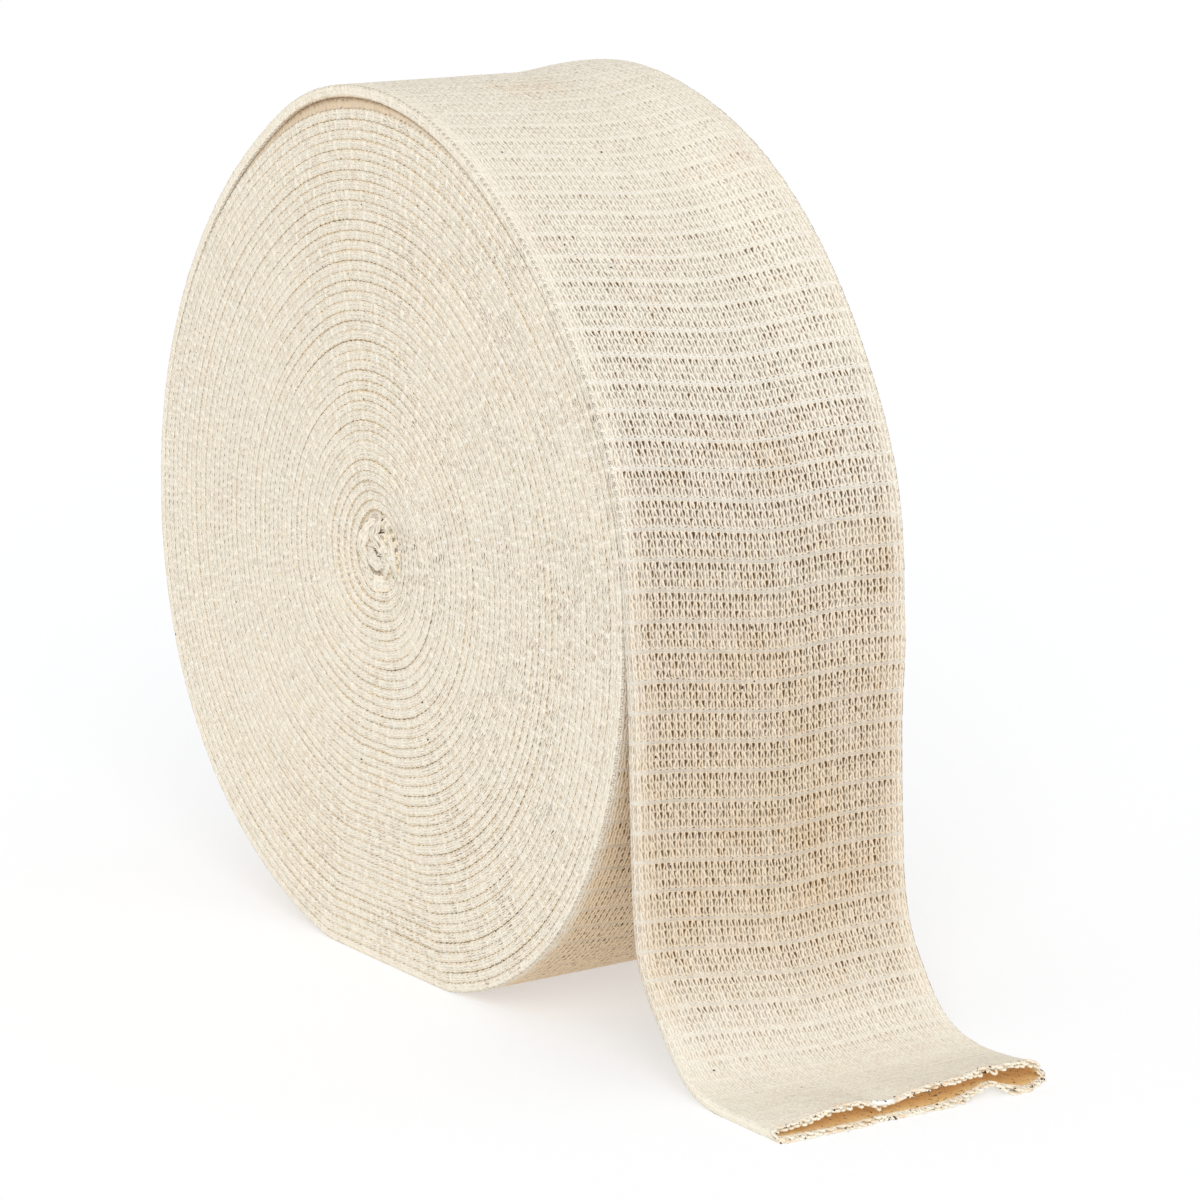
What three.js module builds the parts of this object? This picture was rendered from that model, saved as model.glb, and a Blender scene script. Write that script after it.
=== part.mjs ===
// Roll of elasticated tubular bandage, standing on its edge with its free end let down in front.
//
// One knitted tube, pressed flat to two plies, is wound on itself into a roll. The last half turn stands
// off the top of the roll, leaves the front at mid height, hangs down, turns on the surface and ends in
// the open mouth of the tube. Millimetres, +Z up. The roll's axis runs along Y, the free end points to
// +X, and the origin is on the surface, under the axis, at the middle of the width.

import * as THREE from 'three';
import { mergeVertices } from 'three/addons/utils/BufferGeometryUtils.js';

// The cloth
const FLAT_WIDTH = 50.8;
const LAYER = 1.6;
const PLY = 0.75;
const FOLD_RADIUS = LAYER / 2;
const HALF_WIDTH = FLAT_WIDTH / 2;

// The roll
const AXIS_HEIGHT = 68.8;
const SEAT_GAP = 0.3;
const COLUMN_STEP = 6;
const COLUMN_SHIFT = COLUMN_STEP / 2;
const LAST_TURN_START = COLUMN_SHIFT + 27 * COLUMN_STEP;
const STEP_LEAN = 1;
const LAST_TURN_GAP = 0.3;

// The far edge's radius counts little over most of the width, and fully from where it flares
const STEADY_SHARE = 0.3;
const FLARE_FROM = 0.68;
const FLARE_TO = 0.97;

// The faces of the roll
const FACE_WAVE = 0.3;
const SHORT_WAVE = 20;
const LONG_WAVE = 37;
const LONG_WAVE_SHARE = 0.6;
const WAVE_SWING = 0.8;
const CORE_RADIUS = 15;
const CORE_DISH = 1.2;
const CORE_RIDGE = 0.9;
const CORE_TURN = 14;

// The free end
const TAIL_SETTLE = 22;
const TAIL_SECTIONS = 20;
const MOUTH_DEPTH = 16;
const MOUTH_OPENING = 1.3;
const MOUTH_EDGE = 0.5;
const MOUTH_STEPS = [16, 12, 8.5, 5.5, 3, 1.2, 0];
const POCKET_STEPS = [0, 1.2, 3, 5.5, 8.5, 12];
const LOWER_PLY_REACH = 1.2;

// Radius of the outermost turn at the two fold edges, if it lay tight all the way round, and how far the
// last turn stands off there. Angles run from +X towards +Z. The radius drops by one layer where the
// turn is complete, as in any spiral.
const OUTLINE = [
  { angle: 0, near: 74.4, far: 75.8, lift: 0 },
  { angle: 15, near: 73.7, far: 75.9, lift: 0 },
  { angle: 30, near: 72.5, far: 75.0, lift: 0 },
  { angle: 45, near: 71.6, far: 75.3, lift: 0 },
  { angle: 60, near: 72.0, far: 75.8, lift: 0.3 },
  { angle: 75, near: 73.3, far: 75.8, lift: 1.0 },
  { angle: 90, near: 74.1, far: 76.0, lift: 1.9 },
  { angle: 105, near: 74.2, far: 76.1, lift: 2.1 },
  { angle: 120, near: 73.2, far: 75.0, lift: 1.1 },
  { angle: 135, near: 72.7, far: 74.0, lift: 0.4 },
  { angle: 150, near: 72.5, far: 73.4, lift: 0.1 },
  { angle: 165, near: 72.6, far: 73.2, lift: 0 },
  { angle: 180, near: 72.6, far: 72.9, lift: 0 },
  { angle: 200, near: 73.2, far: 73.2, lift: 0 },
  { angle: 220, near: 72.9, far: 73.0, lift: 0 },
  { angle: 240, near: 71.4, far: 71.8, lift: 0 },
  { angle: 255, near: 70.6, far: 70.6, lift: 0 },
  { angle: 270, near: 70.4, far: 70.2, lift: 0 },
  { angle: 285, near: 71.8, far: 71.0, lift: 0 },
  { angle: 300, near: 74.0, far: 72.2, lift: 0 },
  { angle: 315, near: 74.9, far: 73.2, lift: 0 },
  { angle: 330, near: 74.4, far: 73.6, lift: 0 },
  { angle: 345, near: 73.4, far: 73.4, lift: 0 },
  { angle: 360, near: 72.5, far: 73.9, lift: 0 },
];

// Places across the width, from the near fold edge to the far one
const ACROSS = [-24.6, -21, -17, -13, -9, -5, -1, 3, 7, 11, 14, 17, 20, 22.4, 24.6];

// Rings of each face, as shares of the outline's radius
const FACE_RINGS = [0.92, 0.8, 0.67, 0.54, 0.42, 0.31, 0.22, 0.18, 0.145, 0.115, 0.085, 0.055, 0.03];

// The free end's middle surface, seen from the side. The skew moves the near edge forward and the far
// edge back.
const TAIL = [
  { x: 74.7, z: 60, skew: 0 },
  { x: 75.0, z: 50, skew: 0 },
  { x: 75.3, z: 40, skew: 0 },
  { x: 75.8, z: 30, skew: 0 },
  { x: 76.3, z: 24, skew: 0 },
  { x: 77.4, z: 18.4, skew: 0 },
  { x: 79.5, z: 14, skew: 0.3 },
  { x: 82.4, z: 10, skew: 0.6 },
  { x: 85.6, z: 6, skew: 0.8 },
  { x: 88.8, z: 3.2, skew: 0.6 },
  { x: 92.4, z: 1.6, skew: 0.3 },
  { x: 97, z: 0.8, skew: 0 },
];
const TAIL_END = 111.7;

// The mouth of the tube at the cut edge: how high the lower ply is lifted off the surface, how far the
// plies stand apart, and how far the cut edge stands out.
const MOUTH = [
  { across: -25.4, lift: 0, gap: 0, reach: -0.4 },
  { across: -21, lift: 0, gap: 0.6, reach: -0.1 },
  { across: -16, lift: 0, gap: 1.5, reach: 0.3 },
  { across: -10, lift: 0, gap: 1.7, reach: 0.3 },
  { across: -5, lift: 0, gap: 0.7, reach: -0.1 },
  { across: 1, lift: 0, gap: 1.8, reach: 0.4 },
  { across: 7, lift: 0.3, gap: 1.7, reach: 0.3 },
  { across: 11, lift: 0.9, gap: 1.1, reach: -0.3 },
  { across: 14, lift: 1.4, gap: 1.0, reach: -0.4 },
  { across: 17, lift: 0.3, gap: 2.4, reach: 0.9 },
  { across: 21, lift: 0, gap: 2.5, reach: 0.7 },
  { across: 25.4, lift: 0, gap: 0.9, reach: -1.6 },
];

const PALE_COTTON = new THREE.Color(0.86, 0.81, 0.7);
const TAN_COTTON = new THREE.Color(0.84, 0.77, 0.64);
const CLOTH_ROUGHNESS = 0.95;

const radians = THREE.MathUtils.degToRad;
const smoothstep = THREE.MathUtils.smoothstep;

// Value of one column of a table at a place between two of its rows, on a smooth curve.
function along(rows, place, column, at) {
  const found = rows.findIndex((row) => row[place] > at);
  const next = found < 0 ? rows.length - 1 : Math.max(found, 1);
  const start = rows[next - 1];
  const end = rows[next];
  const before = rows[Math.max(next - 2, 0)];
  const after = rows[Math.min(next + 1, rows.length - 1)];
  const span = end[place] - start[place];
  const slopeIn = (span * (end[column] - before[column])) / (end[place] - before[place]);
  const slopeOut = (span * (after[column] - start[column])) / (after[place] - start[place]);
  const t = THREE.MathUtils.clamp((at - start[place]) / span, 0, 1);
  const t2 = t * t;
  const t3 = t2 * t;
  return (
    start[column] * (2 * t3 - 3 * t2 + 1) +
    slopeIn * (t3 - 2 * t2 + t) +
    end[column] * (3 * t2 - 2 * t3) +
    slopeOut * (t3 - t2)
  );
}

// Share of the far edge's radius at a place across the width: the far edge flares over its last part.
function farShare(y) {
  const t = (y + HALF_WIDTH) / FLAT_WIDTH;
  return STEADY_SHARE * t + (1 - STEADY_SHARE) * smoothstep(t, FLARE_FROM, FLARE_TO);
}

function tightRadius(angle, y) {
  const near = along(OUTLINE, 'angle', 'near', angle);
  const far = along(OUTLINE, 'angle', 'far', angle);
  return THREE.MathUtils.lerp(near, far, farShare(y));
}

// Outer radius of the roll itself, which lacks the last half turn.
function rollRadius(angle, y) {
  const missing = angle <= LAST_TURN_START ? LAYER + SEAT_GAP : 0;
  return tightRadius(angle, y) - missing;
}

// Radius of the middle surface of the last turn, between its two plies.
function lastTurnRadius(angle, y) {
  return tightRadius(angle, y) - LAYER / 2 + along(OUTLINE, 'angle', 'lift', angle);
}

// Point at a radius and an angle about the axis, flat where the roll rests.
function aboutAxis(radius, angle, y) {
  const x = radius * Math.cos(radians(angle));
  const z = AXIS_HEIGHT + radius * Math.sin(radians(angle));
  return new THREE.Vector3(x, y, Math.max(z, 0));
}

// How far a face stands out at a point: slow waves where turns have slipped sideways, and at the core a
// shallow dish with the two-armed ridge of the first fold.
function faceRelief(radius, angle) {
  const turn = radians(angle);
  const shortWave = Math.sin((2 * Math.PI * radius) / SHORT_WAVE + WAVE_SWING * Math.sin(turn));
  const longWave = Math.sin((2 * Math.PI * radius) / LONG_WAVE - turn);
  const slip = shortWave + LONG_WAVE_SHARE * longWave;
  const waves = FACE_WAVE * slip * smoothstep(radius, CORE_RADIUS / 2, CORE_RADIUS * 2);
  const core = 1 - smoothstep(radius, CORE_RADIUS / 3, CORE_RADIUS);
  const swirl = Math.cos(2 * turn - (2 * Math.PI * radius) / CORE_TURN);
  const ridge = CORE_RIDGE * swirl * core * smoothstep(radius, 0, CORE_RADIUS / 4);
  return waves - CORE_DISH * core + ridge;
}

// One closed body from a list of loops with equally many points, each joined to the next. Each end is
// closed by a fan about its middle, or by a strip where the loop is a flat one.
function bodyFromLoops(loops, endKinds) {
  const count = loops[0].length;
  const positions = [];
  const triangles = [];
  for (const loop of loops) {
    for (const point of loop) {
      positions.push(point.x, point.y, point.z);
    }
  }
  for (let loop = 0; loop + 1 < loops.length; loop += 1) {
    for (let k = 0; k < count; k += 1) {
      const a = loop * count + k;
      const b = loop * count + ((k + 1) % count);
      triangles.push(a, b, b + count, a, b + count, a + count);
    }
  }
  endKinds.forEach((kind, end) => {
    const loop = end === 0 ? 0 : loops.length - 1;
    const first = loop * count;
    const add = (a, b, c) => (end === 0 ? triangles.push(c, b, a) : triangles.push(a, b, c));
    if (kind === 'fan') {
      const middle = new THREE.Vector3();
      loops[loop].forEach((point) => middle.addScaledVector(point, 1 / count));
      const centre = positions.length / 3;
      positions.push(middle.x, middle.y, middle.z);
      for (let k = 0; k < count; k += 1) {
        add(first + k, first + ((k + 1) % count), centre);
      }
    } else {
      for (let k = 0; k < count / 2 - 1; k += 1) {
        const a = first + k;
        const b = first + k + 1;
        const c = first + count - 1 - (k + 1);
        const d = first + count - 1 - k;
        add(a, b, c);
        add(a, c, d);
      }
    }
  });
  const geometry = new THREE.BufferGeometry();
  geometry.setAttribute('position', new THREE.Float32BufferAttribute(positions, 3));
  geometry.setIndex(triangles);
  const merged = mergeVertices(geometry, 1e-4);
  merged.computeVertexNormals();
  return merged;
}

// Angles of the roll's columns, with one more just past the start of the last turn, where the roll's
// radius steps up by a layer.
function rollAngles() {
  const angles = [];
  for (let angle = COLUMN_SHIFT; angle < 360; angle += COLUMN_STEP) {
    angles.push(angle);
  }
  angles.push(LAST_TURN_START + STEP_LEAN);
  return angles.sort((a, b) => a - b);
}

function woundRoll() {
  const angles = rollAngles();
  const faceLoop = (share, side) =>
    angles.map((angle) => {
      const radius = share * (rollRadius(angle, side * HALF_WIDTH) - FOLD_RADIUS);
      const out = share > FACE_RINGS[0] ? 0 : faceRelief(radius, angle);
      return aboutAxis(radius, angle, side * (HALF_WIDTH + out));
    });
  const bandLoop = (y) => angles.map((angle) => aboutAxis(rollRadius(angle, y), angle, y));
  const inward = [1, ...FACE_RINGS];
  const outward = [...inward].reverse();
  const loops = [
    ...outward.map((share) => faceLoop(share, 1)),
    ...[...ACROSS].reverse().map((y) => bandLoop(y)),
    ...inward.map((share) => faceLoop(share, -1)),
  ];
  return bodyFromLoops(loops, ['fan', 'fan']);
}

// The free end's middle line, seen from the side, from where it leaves the roll to the cut edge.
function tailSections() {
  const curve = new THREE.CatmullRomCurve3(
    [
      new THREE.Vector3(lastTurnRadius(0, 0), 0, AXIS_HEIGHT),
      ...TAIL.map((row) => new THREE.Vector3(row.x, row.skew, row.z)),
    ],
    false,
    'centripetal',
  );
  const sections = [];
  for (let step = 1; step <= TAIL_SECTIONS; step += 1) {
    const place = curve.getPoint(step / TAIL_SECTIONS);
    const heading = curve.getTangent(step / TAIL_SECTIONS).setY(0).normalize();
    const normal = new THREE.Vector3(-heading.z, 0, heading.x);
    sections.push({ x: place.x, z: place.z, skew: place.y, normal });
  }
  return sections;
}

// A loop round the flattened tube: along the lower or inner ply to the far fold, and back along the
// upper or outer ply. The function gives the inner and the outer point at a place across.
function tubeLoop(places, foldAt, pointAt) {
  const inner = places.map((y) => pointAt(y, -1));
  const outer = places.map((y) => pointAt(y, 1)).reverse();
  return [...inner, pointAt(foldAt, 0), ...outer, pointAt(-foldAt, 0)];
}

// Section of the mouth at a distance from the cut edge. Inside the tube the loop is a ply smaller.
function mouthLoop(distance, inside) {
  const open = (1 - distance / MOUTH_DEPTH) ** MOUTH_OPENING;
  const edge = smoothstep(1 - distance / MOUTH_DEPTH, MOUTH_EDGE, 1);
  const wall = inside ? PLY : 0;
  const foldAt = HALF_WIDTH - wall;
  const places = ACROSS.map((y) => (y * foldAt) / HALF_WIDTH);
  return tubeLoop(places, foldAt, (y, side) => {
    const lift = along(MOUTH, 'across', 'lift', y) * open;
    const height = LAYER + along(MOUTH, 'across', 'gap', y) * open;
    const reach = along(MOUTH, 'across', 'reach', y) * edge;
    const longer = side > 0 ? 0 : LOWER_PLY_REACH * edge;
    const z = lift + height / 2 + side * (height / 2 - wall);
    return new THREE.Vector3(TAIL_END - distance + reach + longer, y, z);
  });
}

function looseEnd() {
  const clearStart = LAST_TURN_START - LAST_TURN_GAP;
  const angles = rollAngles().filter((angle) => angle < clearStart).reverse();
  const turnLoop = (angle) =>
    tubeLoop(ACROSS, HALF_WIDTH, (y, side) =>
      aboutAxis(lastTurnRadius(angle, y) + side * (LAYER / 2), angle, y),
    );
  const tailLoop = (section) =>
    tubeLoop(ACROSS, HALF_WIDTH, (y, side) => {
      const settle = 1 - smoothstep(AXIS_HEIGHT - section.z, 0, TAIL_SETTLE);
      const followRoll = settle * (lastTurnRadius(0, y) - lastTurnRadius(0, 0));
      const shift = followRoll - (section.skew * y) / HALF_WIDTH;
      const middle = new THREE.Vector3(section.x + shift, y, section.z);
      return middle.addScaledVector(section.normal, (side * LAYER) / 2);
    });
  const loops = [
    ...[clearStart, ...angles].map((angle) => turnLoop(angle)),
    ...tailSections().map((section) => tailLoop(section)),
    ...MOUTH_STEPS.map((distance) => mouthLoop(distance, false)),
    ...POCKET_STEPS.map((distance) => mouthLoop(distance, true)),
  ];
  return bodyFromLoops(loops, ['strip', 'strip']);
}

function clothMesh(name, geometry, color) {
  const material = new THREE.MeshStandardMaterial({ color, roughness: CLOTH_ROUGHNESS, metalness: 0 });
  const mesh = new THREE.Mesh(geometry, material);
  mesh.name = name;
  return mesh;
}

const bandageRoll = new THREE.Group();
bandageRoll.name = 'tubular_bandage_roll';
bandageRoll.add(clothMesh('wound_roll', woundRoll(), PALE_COTTON));
bandageRoll.add(clothMesh('loose_end', looseEnd(), TAN_COTTON));

export default bandageRoll;
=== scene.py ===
# %% [markdown]
# # A roll of tubular bandage
# The real object is one long knitted cotton tube with fine white elastic laid into every fourth row.
# It is pressed flat and wound on itself, and its free end is let down in front of the roll.
# This lesson lays that one tube out turn by turn, stitch by stitch, so every piece below is just a
# stretch of the same cloth. It could be faked with a plain drum and a picture, but then the edges of
# the turns, the gap at the top and the open mouth would have no shape of their own.

import math

import bpy
import numpy as np
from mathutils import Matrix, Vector


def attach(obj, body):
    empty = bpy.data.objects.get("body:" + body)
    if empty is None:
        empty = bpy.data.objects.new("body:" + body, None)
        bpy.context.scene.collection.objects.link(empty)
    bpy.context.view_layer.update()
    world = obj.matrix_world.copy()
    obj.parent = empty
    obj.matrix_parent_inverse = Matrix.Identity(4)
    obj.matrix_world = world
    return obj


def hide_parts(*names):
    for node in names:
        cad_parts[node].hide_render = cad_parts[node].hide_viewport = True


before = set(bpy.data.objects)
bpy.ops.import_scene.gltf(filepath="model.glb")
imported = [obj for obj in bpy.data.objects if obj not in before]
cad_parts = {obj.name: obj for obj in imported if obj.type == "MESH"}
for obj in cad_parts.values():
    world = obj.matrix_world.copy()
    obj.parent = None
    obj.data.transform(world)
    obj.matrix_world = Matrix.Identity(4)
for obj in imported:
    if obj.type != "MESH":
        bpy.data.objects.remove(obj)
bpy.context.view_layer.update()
print("solids in the frame:", sorted(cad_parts))


# %% New objects and materials
def add_object(name, data):
    """A new object in the scene."""
    thing = bpy.data.objects.new(name, data)
    bpy.context.scene.collection.objects.link(thing)
    return thing


def new_material(name, roughness, specular):
    """A new material, and its shader."""
    material = bpy.data.materials.new(name)
    material.use_nodes = True
    shader = material.node_tree.nodes["Principled BSDF"]
    shader.inputs["Roughness"].default_value = roughness
    shader.inputs["Specular IOR Level"].default_value = specular
    return material, shader


# %% [markdown]
# ## Camera
# The roll stands a little below eye level and is seen from its right, from about 0.7 m with a long
# lens. Azimuth turns round the roll from straight in front of its near face, and the camera looks at
# a point low on the roll, a little towards the free end.

# %% Camera
MM = 0.001
CAMERA_AZIMUTH = 56.06
CAMERA_RISE = 11.69
CAMERA_DISTANCE = 0.6964
CAMERA_TARGET = Vector((0.0288, 0, 0.06325))
SENSOR_WIDTH = 36
LENS = 129.45


def direction(azimuth, rise):
    """Unit vector from the object towards a viewer at this azimuth and rise, in degrees."""
    a = math.radians(azimuth)
    e = math.radians(rise)
    return Vector((math.sin(a) * math.cos(e), -math.cos(a) * math.cos(e), math.sin(e)))


camera = add_object("camera", bpy.data.cameras.new("camera"))
camera.data.sensor_width = SENSOR_WIDTH
camera.data.lens = LENS
towards_camera = direction(CAMERA_AZIMUTH, CAMERA_RISE)
camera.location = CAMERA_TARGET + towards_camera * CAMERA_DISTANCE
camera.rotation_euler = (-towards_camera).to_track_quat("-Z", "Y").to_euler()
bpy.context.scene.camera = camera
print("camera height:", round(camera.location.z, 3), "m")

# %% [markdown]
# ## Floor and light
# A product like this is photographed on a white table that is lit from below as well, in soft light
# from all sides. So the surround is nearly white, one broad lamp in front and above gives the cloth
# its modelling, and the table glows, which keeps the shadows under the roll pale. A darker studio
# with one strong lamp would show the stitches more, but the photo has hardly any shadow.

# %% Floor and light
FLOOR_HALF = 6.0
FLOOR_COLOUR = (0.55, 0.555, 0.565, 1)
FLOOR_GLOW = 0.46
SURROUND_STRENGTH = 0.76
LAMP_AZIMUTH = 56
LAMP_RISE = 30
LAMP_STRENGTH = 1.4
LAMP_SPREAD = 40

scene = bpy.context.scene
scene.view_settings.view_transform = "Standard"

table_top, table_shader = new_material("lit_table", 1.0, 0.0)
table_shader.inputs["Base Color"].default_value = FLOOR_COLOUR
table_shader.inputs["Emission Color"].default_value = (1, 1, 1, 1)
table_shader.inputs["Emission Strength"].default_value = FLOOR_GLOW

floor_mesh = bpy.data.meshes.new("floor")
floor_corners = [(x * FLOOR_HALF, y * FLOOR_HALF, 0) for x, y in ((-1, -1), (1, -1), (1, 1), (-1, 1))]
floor_mesh.from_pydata(floor_corners, [], [(0, 1, 2, 3)])
floor_mesh.materials.append(table_top)
floor = add_object("floor", floor_mesh)

lamp = add_object("broad_lamp", bpy.data.lights.new("broad_lamp", "SUN"))
lamp.data.energy = LAMP_STRENGTH
lamp.data.angle = math.radians(LAMP_SPREAD)
lamp.rotation_euler = direction(LAMP_AZIMUTH, LAMP_RISE).to_track_quat("Z", "Y").to_euler()

surround = bpy.data.worlds.new("white_surround")
surround.use_nodes = True
surround_shader = surround.node_tree.nodes["Background"]
surround_shader.inputs["Color"].default_value = (1, 1, 1, 1)
surround_shader.inputs["Strength"].default_value = SURROUND_STRENGTH
scene.world = surround
print("lights:", lamp.name, "and", surround.name)

# %% [markdown]
# ## The cloth and its places
# A place on the tube is given by two numbers. Courses count the rows of stitches from the cut mouth
# inward, and wales count the columns of stitches round the tube, from the near fold over the outer
# ply to the far fold and back under it. Every function below turns such places into millimetres.

# %% The cloth
FLAT_WIDTH = 50.8
LAYER = 1.6
HALF_THICK = LAYER / 2
FOLD_DEPTH = 0.26
FOLD_ROUNDNESS = 0.75
PRESSED_DEPTH = 0.03
PRESSED_ROUNDNESS = 0.9
WALES = 92
REPEAT = 4.6
REPEAT_COURSES = 4
CORD_ROW = 0.72
FIRST_CORD = -2.06

half_width = FLAT_WIDTH / 2
fold_quarter = math.pi * HALF_THICK / 2
ply_flat = FLAT_WIDTH - 2 * HALF_THICK
WALE = (2 * ply_flat + 4 * fold_quarter) / WALES
STITCH_ROW = (REPEAT - CORD_ROW) / (REPEAT_COURSES - 1)
print("one wale is", round(WALE, 3), "mm wide, one row of stitches", round(STITCH_ROW, 3), "mm")


def length_of(course):
    """Length from the cut mouth of a course number. Each fourth course is the lower row of the cord."""
    repeat = np.floor(course / REPEAT_COURSES)
    row = course - REPEAT_COURSES * repeat
    rows = np.where(row < 1, CORD_ROW * row, CORD_ROW + STITCH_ROW * (row - 1))
    return FIRST_CORD + REPEAT * repeat + rows


def course_of(length):
    """Course number at a length from the cut mouth."""
    repeat = np.floor((length - FIRST_CORD) / REPEAT)
    rows = length - FIRST_CORD - REPEAT * repeat
    row = np.where(rows < CORD_ROW, rows / CORD_ROW, 1 + (rows - CORD_ROW) / STITCH_ROW)
    return REPEAT_COURSES * repeat + row


print("course numbers at 0, 1 and 10 mm:", course_of(np.array([0.0, 1.0, 10.0])).round(2))


# %% A smooth curve through a short table
def along(table, column, at):
    """Value of a table's column at places between its rows, on a smooth curve."""
    xs = np.array(table["at"], float)
    ys = np.array(table[column], float)
    at = np.clip(at, xs[0], xs[-1])
    row = np.clip(np.searchsorted(xs, at, side="right") - 1, 0, len(xs) - 2)
    before = np.maximum(row - 1, 0)
    after = np.minimum(row + 2, len(xs) - 1)
    span = xs[row + 1] - xs[row]
    slope_in = span * (ys[row + 1] - ys[before]) / (xs[row + 1] - xs[before])
    slope_out = span * (ys[after] - ys[row]) / (xs[after] - xs[row])
    t = (at - xs[row]) / span
    kept = ys[row] * (2 * t**3 - 3 * t**2 + 1) + ys[row + 1] * (3 * t**2 - 2 * t**3)
    return kept + slope_in * (t**3 - 2 * t**2 + t) + slope_out * (t**3 - t**2)


def smoothstep(x, low, high):
    """0 below low, 1 above high and an even S between them."""
    t = np.clip((x - low) / (high - low), 0, 1)
    return t * t * (3 - 2 * t)


# %% [markdown]
# ## Cross-section of the flattened tube
# Cut across, the pressed tube is a long flat loop: two plies joined by a tight fold at each edge.
# The loop is walked as it is: quarter round, flat, half round, flat, quarter round. The turns press
# on each other, so their folds are flatter than a half circle and leave only shallow grooves between
# them, hardly any where they are pressed hardest. Each point also gets its outward direction, which
# the stitches need.

# %% Cross-section
def tube_section(wale, rounded=1.0):
    """Place across and out from the middle, and the outward direction, of places round the tube."""
    depth = PRESSED_DEPTH + (FOLD_DEPTH - PRESSED_DEPTH) * rounded
    roundness = PRESSED_ROUNDNESS + (FOLD_ROUNDNESS - PRESSED_ROUNDNESS) * rounded
    run = np.mod(wale, WALES) * WALE
    ends = np.cumsum([fold_quarter, ply_flat, 2 * fold_quarter, ply_flat])
    stretch = np.searchsorted(ends, run, side="right")
    from_start = run - np.append(0, ends)[stretch]
    turn = from_start / HALF_THICK
    zero = np.zeros_like(run)
    across_normal = np.choose(stretch, [-np.cos(turn), zero, np.sin(turn), zero, -np.sin(turn)])
    out_normal = np.choose(stretch, [np.sin(turn), zero + 1, np.cos(turn), zero - 1, -np.cos(turn)])
    inner_edge = half_width - depth
    share = from_start / ply_flat * 2 - 1
    edge = inner_edge * np.choose(stretch, [zero - 1, share, zero + 1, -share, zero - 1])
    across = edge + depth * np.sign(across_normal) * np.abs(across_normal) ** roundness
    out = HALF_THICK * np.sign(out_normal) * np.abs(out_normal) ** roundness
    return across, out, across_normal, out_normal


across, out, *_ = tube_section(np.array([0.0, 23.0, 46.0, 69.0]))
print("section points, across:", across.round(2), "out:", out.round(2))

# %% [markdown]
# ## Shape of the wound roll
# A hand-wound roll is never round. The table below gives the radius of its outermost turn at the two
# edges, by angle from the free end's side over the top, and how far the last half turn stands off.
# Further in, every turn keeps one layer's distance and slowly becomes round.

# %% Outermost turn
AXIS_HEIGHT = 68.8
SEAT_GAP = 0.15
LAST_TURN_START = 165
OUTLINE = {
    "at": (0, 15, 30, 45, 60, 75, 90, 105, 120, 135, 150, 165,
           180, 200, 220, 240, 255, 270, 285, 300, 315, 330, 345, 360),
    "near": (74.4, 73.7, 72.5, 71.6, 72.0, 73.3, 74.1, 74.2, 73.2, 72.7, 72.5, 72.6,
             72.6, 73.2, 72.9, 71.4, 70.6, 70.4, 71.8, 74.0, 74.9, 74.4, 73.4, 72.5),
    "far": (75.8, 75.9, 75.0, 75.3, 75.8, 75.8, 76.0, 76.1, 75.0, 74.0, 73.4, 73.2,
            72.9, 73.2, 73.0, 71.8, 70.6, 70.2, 71.0, 72.2, 73.2, 73.6, 73.4, 73.9),
    "lift": (0, 0, 0, 0, 0.3, 1.0, 1.9, 2.1, 1.1, 0.4, 0.1, 0,
             0, 0, 0, 0, 0, 0, 0, 0, 0, 0, 0, 0),
}
STEADY_SHARE = 0.3
FLARE_FROM = 0.68
FLARE_TO = 0.97


def flare_share(y):
    """Share of the far edge's radius across the width: the far edge flares over its last part."""
    t = (y + half_width) / FLAT_WIDTH
    return STEADY_SHARE * t + (1 - STEADY_SHARE) * smoothstep(t, FLARE_FROM, FLARE_TO)


# %% Radius of any turn
TURNS = 44.6
FLARE_FADE = 4
SQUASHED_LAYER = 1.5
TIGHTNESS_KNOT = 70
TIGHTNESS_SPREAD = 0.05

mean_radius = OUTLINE["near"][11]
winding_dice = np.random.default_rng(5)
tightness_knots = winding_dice.normal(0, TIGHTNESS_SPREAD, int(TURNS * 360 / TIGHTNESS_KNOT) + 12)


def slow_noise(knots, place):
    """Smooth noise through a row of knots."""
    low = np.clip(np.floor(place).astype(int), 0, len(knots) - 2)
    return knots[low] + (knots[low + 1] - knots[low]) * smoothstep(place - low, 0, 1)


def middle_radius(turn, y):
    """Radius of the flattened tube's middle at a turn angle, which grows inward, in degrees."""
    angle = np.mod(turn, 360)
    near = along(OUTLINE, "near", angle)
    flare = (along(OUTLINE, "far", angle) - near) * flare_share(y)
    lift = along(OUTLINE, "lift", angle)
    on_last_half = turn < LAST_TURN_START
    depth = np.maximum(turn - LAST_TURN_START, 0) / 360
    kept = np.clip(1 - depth / TURNS, 0, 1)
    seat = SEAT_GAP * (1 - smoothstep(angle, LAST_TURN_START - 15, LAST_TURN_START))
    outermost = near - np.where(angle < LAST_TURN_START, LAYER + seat, 0)
    round_one = mean_radius - LAYER * np.mod(angle - LAST_TURN_START, 360) / 360
    uneven = slow_noise(tightness_knots, turn / TIGHTNESS_KNOT) * smoothstep(turn, 420, 700)
    wound = mean_radius - LAYER * depth + (outermost - round_one) * kept + flare * kept**FLARE_FADE
    return np.where(on_last_half, near + flare + lift, wound + uneven) - LAYER / 2


print("middle radius, deg 0 to 900:", middle_radius(np.arange(0, 901, 180.0), 0 * np.arange(6)).round(1))

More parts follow.
